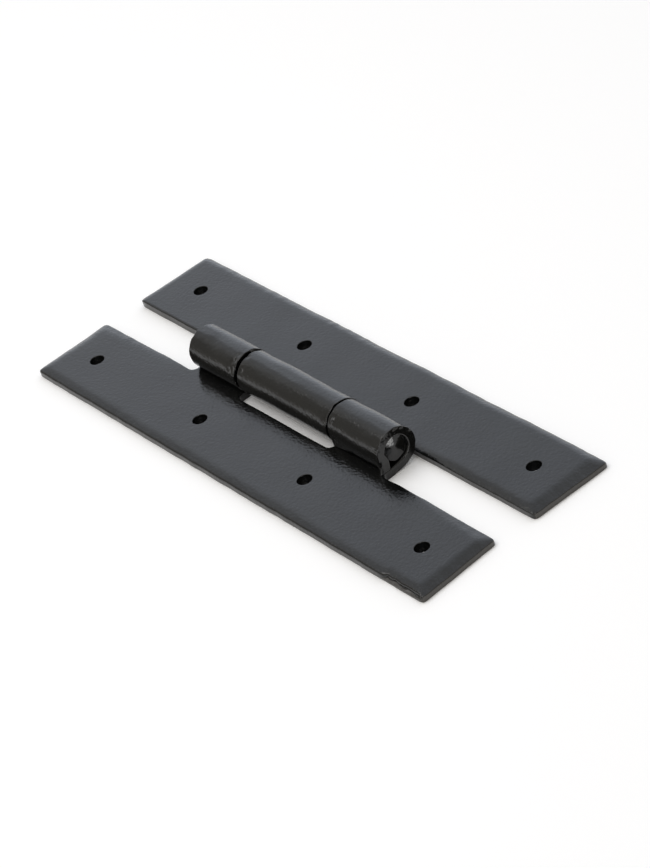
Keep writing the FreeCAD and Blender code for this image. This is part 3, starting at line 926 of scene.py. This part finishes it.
class OBJECT_OT_hinge_middle_leaf(bpy.types.Operator):
    """Build the back leaf, whose strip is rolled into the one middle knuckle"""

    bl_idname = "hinge.add_middle_leaf"
    bl_label = "Middle-knuckle leaf"

    def execute(self, context):
        barrel = context.scene.hinge_barrel
        half = (barrel.knuckle_opening - barrel.axial_play) / MM / 2
        low, high = box_mm(MIDDLE_LEAF)
        row = high[1] - MOUNTS["middle_leaf_outer_holes"]["pos_m"][1] / MM
        end_low, end_high = box_mm(END_LEAF)
        stagger = (low[0] + high[0] - end_low[0] - end_high[0]) / 2
        middle = -(PIN_BOX[0][0] + PIN_BOX[1][0]) / 2 - stagger
        rim = middle - half + barrel.rim_setback / MM
        tabs = (Tab(rim, middle + half, 2 * row, 2 * row),)
        end, side, soft = edge_sizes(context.scene.hinge_leaf)
        edges = (
            Edge(end * 1.05, 0.25, soft, (0.0, 0.3)),
            Edge(end * 0.42, 0.34, soft * 1.7, (0.9, 0.0)),
            Edge(side, 0.5, soft * 2, (0.2, 0.0)),
            Edge(side, 0.36, soft, (-0.3, -0.1), 0.35, 0.2),
        )
        build_leaf(context, MIDDLE_LEAF, tabs, edges, 71)
        return {"FINISHED"}


def build_leaf(context, node, tabs, edges, seed, burr=None):
    """Mesh a leaf's strip, turn it if it faces the other way, and finish it."""
    strip = Strip(context.scene, node, tabs, edges, seed, burr)
    turn = np.array([strip.turn, strip.turn, 1.0])
    patches = [(grid * turn, left_out) for grid, left_out in strip.patches()]
    mesh = mesh_from_patches(f"painted_{node}", patches, box_mm(node))
    note_sheared_edges_and_painted_light(mesh, strip)
    coat = context.scene.hinge_coat
    material = black_powder_coat(f"black_powder_coat_{node}", coat, 1.0, seed * 0.01)
    finish_piece(mesh, node, material)


class OBJECT_OT_hinge_pin(bpy.types.Operator):
    """Build the pin, a turned bar with hammered ends"""

    bl_idname = "hinge.add_pin"
    bl_label = "Hinge pin"

    def execute(self, context):
        mesh = mesh_from_patches("painted_hinge_pin", pin_patches(), PIN_BOX)
        coat = black_powder_coat("black_powder_coat_pin", context.scene.hinge_coat, 0.3, 0.5)
        finish_piece(mesh, PIN, coat)
        return {"FINISHED"}


def pin_patches():
    """Grids of the pin: a turned side, and a peened face at each end.

    An end face is a polar grid, flat until the peening sinks it.
    """
    low, high = PIN_BOX
    angles = np.linspace(0, math.tau, 145)
    middle = (low[0] + high[0]) / 2
    half = (high[0] - low[0]) / 2
    bend = np.linspace(0, math.pi / 2, 7)
    upset_x = np.linspace(half - PIN_ROUND, half - PIN_UPSET, 8)[1:]
    inner_x = np.linspace(half - PIN_UPSET - 0.1, 0, 24)
    half_x = np.concatenate([half - PIN_ROUND * (1 - np.cos(bend)), upset_x, inner_x])
    half_r = np.concatenate([
        EYE_BORE - PIN_ROUND * (1 - np.sin(bend)), np.full_like(upset_x, EYE_BORE),
        np.full_like(inner_x, EYE_BORE - PIN_SLACK),
    ])
    along = np.concatenate([half_x, -half_x[-2::-1]])
    radius = np.concatenate([half_r, half_r[-2::-1]])
    grids = [turned(middle + along, radius, angles)]
    cap_r = np.linspace(0, 1, 37) * (EYE_BORE - PIN_ROUND)
    for sign in (1.0, -1.0):
        grids.append(turned(np.full_like(cap_r, middle + sign * half), cap_r, angles))
    return [(peened(grid, middle, half), None) for grid in grids]


def turned(along, radius, angles):
    """A profile of radius over place along X, carried round the hinge's axis."""
    x = along[:, None] + 0 * angles
    y = AXIS_POINT[1] + radius[:, None] * np.cos(angles)
    z = AXIS_POINT[2] + radius[:, None] * np.sin(angles)
    return np.stack([x, y, z], -1)


def peened(points, middle, half):
    """Beat both ends of the pin to a blunt point of flat facets.

    Each facet is a plane through the end of the axis, the lowest plane counts at each
    point, and what they take off is spread evenly over the upset length behind them.
    """
    across = points[..., 1:] - np.array(AXIS_POINT[1:])
    along = points[..., 0] - middle
    sunk = np.zeros_like(along)
    for fall in PEENED_FACETS:
        sunk = soft_max(sunk, across @ np.array(fall), 0.1)
    share = np.clip((np.abs(along) - (half - PIN_UPSET)) / PIN_UPSET, 0.0, 1.0)
    return points - (np.sign(along) * sunk * share)[..., None] * [1, 0, 0]


class OBJECT_OT_hinge_stage(bpy.types.Operator):
    """Set the paper floor, the soft light, the camera and the colour view"""

    bl_idname = "hinge.set_stage"
    bl_label = "Stage"

    def execute(self, context):
        settings = context.scene.hinge_stage
        context.scene.view_settings.view_transform = "Standard"
        add_floor(settings)
        light_world(context, settings)
        for name, power, place, size in LAMPS:
            add_lamp(name, getattr(settings, power), place, size)
        add_camera(context)
        return {"FINISHED"}


def add_floor(settings):
    """A wide round sheet of paper just under the hinge."""
    angles = np.linspace(0, math.tau, 65)[:-1]
    across, along = FLOOR_RADIUS * np.cos(angles), FLOOR_RADIUS * np.sin(angles)
    rim = np.stack([across, along, np.full_like(angles, -FLOOR_DROP)], -1)
    mesh = bpy.data.meshes.new("paper_floor")
    mesh.from_pydata(rim, [], [list(range(len(rim)))])
    mesh.materials.append(seamless_paper(settings))
    add_object("paper_floor", mesh)


def light_world(context, settings):
    """A bright studio behind the hinge, cool in colour, that falls off to a warm dim front.

    The level follows how far a direction turns to the bright side. Slow noise over the
    directions stands for what hangs in the studio, and puts streaks along the barrel.
    """
    world = bpy.data.worlds.new("white_studio")
    context.scene.world = world
    world.use_nodes = True
    tree = world.node_tree
    tree.nodes.clear()
    place = add_node(tree, "ShaderNodeTexCoord").outputs["Generated"]
    turn = add_node(
        tree, "ShaderNodeVectorMath", {0: place, 1: Vector(BRIGHT_SIDE).normalized()},
        operation="DOT_PRODUCT")
    share = add_node(tree, "ShaderNodeMapRange", {
        "Value": turn.outputs["Value"], "From Min": 0.25, "From Max": 0.9,
    })
    clutter = add_node(tree, "ShaderNodeTexNoise", {"Vector": place, "Scale": 3.2})
    streaks = add_node(tree, "ShaderNodeMapRange", {
        "Value": clutter, "From Min": 0.3, "From Max": 0.7, "To Min": 0.8, "To Max": 1.2,
    })
    tone = add_node(
        tree, "ShaderNodeMix", {0: share, 6: linear("#fffaf0"), 7: linear("#eff5ff")},
        data_type="RGBA")
    glow = add_node(tree, "ShaderNodeMapRange", {
        "Value": share, "To Min": settings.near_light, "To Max": settings.far_light,
    })
    strength = add_node(tree, "ShaderNodeMath", {0: glow, 1: streaks}, operation="MULTIPLY")
    sky = add_node(
        tree, "ShaderNodeBackground", {"Color": tone.outputs[2], "Strength": strength})
    add_node(tree, "ShaderNodeOutputWorld", {"Surface": sky})


def add_lamp(name, power, place, size):
    """A soft box that faces the hinge from its place."""
    data = bpy.data.lights.new(name, "AREA")
    data.energy = power
    data.shape = "RECTANGLE"
    data.size, data.size_y = size
    lamp = add_object(name, data)
    place = Vector(place)
    lamp.matrix_world = Matrix.LocRotScale(place, place.to_track_quat("Z", "Y"), None)
    lamp.visible_camera = False


def add_camera(context):
    """The camera at the photograph's place, found from the leaves' corners and holes."""
    data = bpy.data.cameras.new("photo_camera")
    data.sensor_fit = "VERTICAL"
    data.sensor_height = SENSOR
    data.lens = FOCAL_PIXELS * SENSOR / FRAME_HEIGHT
    data.clip_start, data.clip_end = CLIP_NEAR, CLIP_FAR
    camera = add_object("photo_camera", data)
    columns = (CAMERA_RIGHT, CAMERA_UP, CAMERA_BACK)
    turn = Matrix(columns).transposed().to_4x4()
    camera.matrix_world = Matrix.Translation(CAMERA_PLACE) @ turn
    context.scene.camera = camera


OPERATORS = (
    OBJECT_OT_hinge_end_leaf, OBJECT_OT_hinge_middle_leaf, OBJECT_OT_hinge_pin,
    OBJECT_OT_hinge_stage,
)


class VIEW3D_PT_hinge(bpy.types.Panel):
    """Lists the hinge's pieces and their settings"""

    bl_label = "H Hinge"
    bl_idname = "VIEW3D_PT_hinge"
    bl_space_type = "VIEW_3D"
    bl_region_type = "UI"
    bl_category = "H Hinge"

    def draw(self, context):
        layout = self.layout
        for operator in OPERATORS:
            layout.operator(operator.bl_idname)
        for name, group in SETTINGS.items():
            box = layout.box()
            box.label(text=group.__doc__)
            for setting in group.__annotations__:
                box.prop(getattr(context.scene, name), setting)


SETTINGS = {
    "hinge_leaf": HingeLeafSettings,
    "hinge_barrel": HingeBarrelSettings,
    "hinge_coat": HingeCoatSettings,
    "hinge_stage": HingeStageSettings,
}
CLASSES = (*SETTINGS.values(), *OPERATORS, VIEW3D_PT_hinge)


def register():
    """Register the classes and hang the settings on the scene."""
    for item in CLASSES:
        bpy.utils.register_class(item)
    for name, group in SETTINGS.items():
        setattr(bpy.types.Scene, name, PointerProperty(type=group))


def unregister():
    """Take the settings and the classes away again."""
    for name in SETTINGS:
        delattr(bpy.types.Scene, name)
    for item in reversed(CLASSES):
        bpy.utils.unregister_class(item)


def main():
    """Build every piece and the stage."""
    register()
    bpy.ops.hinge.add_end_leaf()
    bpy.ops.hinge.add_middle_leaf()
    bpy.ops.hinge.add_pin()
    bpy.ops.hinge.set_stage()


if __name__ == "__main__":
    main()
